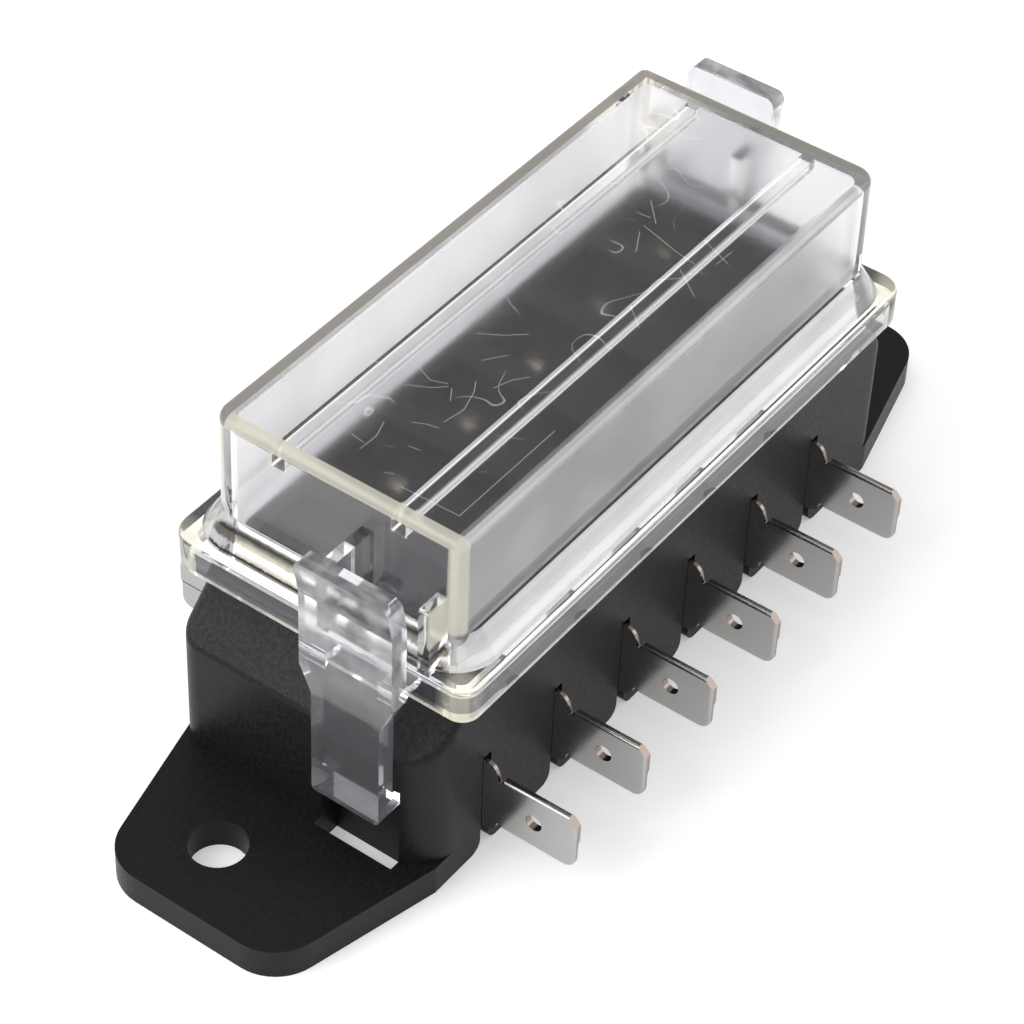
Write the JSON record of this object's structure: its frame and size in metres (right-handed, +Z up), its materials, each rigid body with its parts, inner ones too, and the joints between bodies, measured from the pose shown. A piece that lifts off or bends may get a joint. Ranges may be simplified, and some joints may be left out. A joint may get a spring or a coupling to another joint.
{
  "type": "blade fuse block",
  "caption": "Blade fuse block with side-entry push-on tabs, two mounting ears and a clear cover held on by a rocking clip at each end.",
  "frame": {"origin": "middle of the underside of the block", "axes": "+X along the row of fuses, +Z up, the clip at -X is the front one"},
  "size_m": [0.1064, 0.0488, 0.0397],
  "materials": {
    "black_base": "fine grained moulding, satin",
    "clear_cover": "clear moulding, slightly hazy and finely scratched",
    "tinned_terminal": "tin-plated, satin, bare copper-coloured sheared edges"
  },
  "bodies": {
    "base": {"base_housing": "black_base", "near_terminal_1": "tinned_terminal", "far_terminal_1": "tinned_terminal", "near_terminal_2": "tinned_terminal", "far_terminal_2": "tinned_terminal", "near_terminal_3": "tinned_terminal", "far_terminal_3": "tinned_terminal", "near_terminal_4": "tinned_terminal", "far_terminal_4": "tinned_terminal", "near_terminal_5": "tinned_terminal", "far_terminal_5": "tinned_terminal", "near_terminal_6": "tinned_terminal", "far_terminal_6": "tinned_terminal"},
    "cover": {"cover": "clear_cover"},
    "front_clip": {"front_clip": "clear_cover"},
    "rear_clip": {"rear_clip": "clear_cover"}
  },
  "joints": [
    {"name": "cover_lift", "type": "slide", "parent": "base", "child": "cover", "axis": [0, 0, 1], "range_m": [0, 0.05]},
    {"name": "front_clip_rock", "type": "hinge", "parent": "cover", "child": "front_clip", "pos_m": [-0.03589, -0.0068, 0.02545], "axis": [0, 1, 0], "range_deg": [0, 12], "stiffness_Nm_per_rad": 0.01},
    {"name": "rear_clip_rock", "type": "hinge", "parent": "cover", "child": "rear_clip", "pos_m": [0.03589, 0.0068, 0.02545], "axis": [0, -1, 0], "range_deg": [0, 12], "stiffness_Nm_per_rad": 0.01}
  ]
}
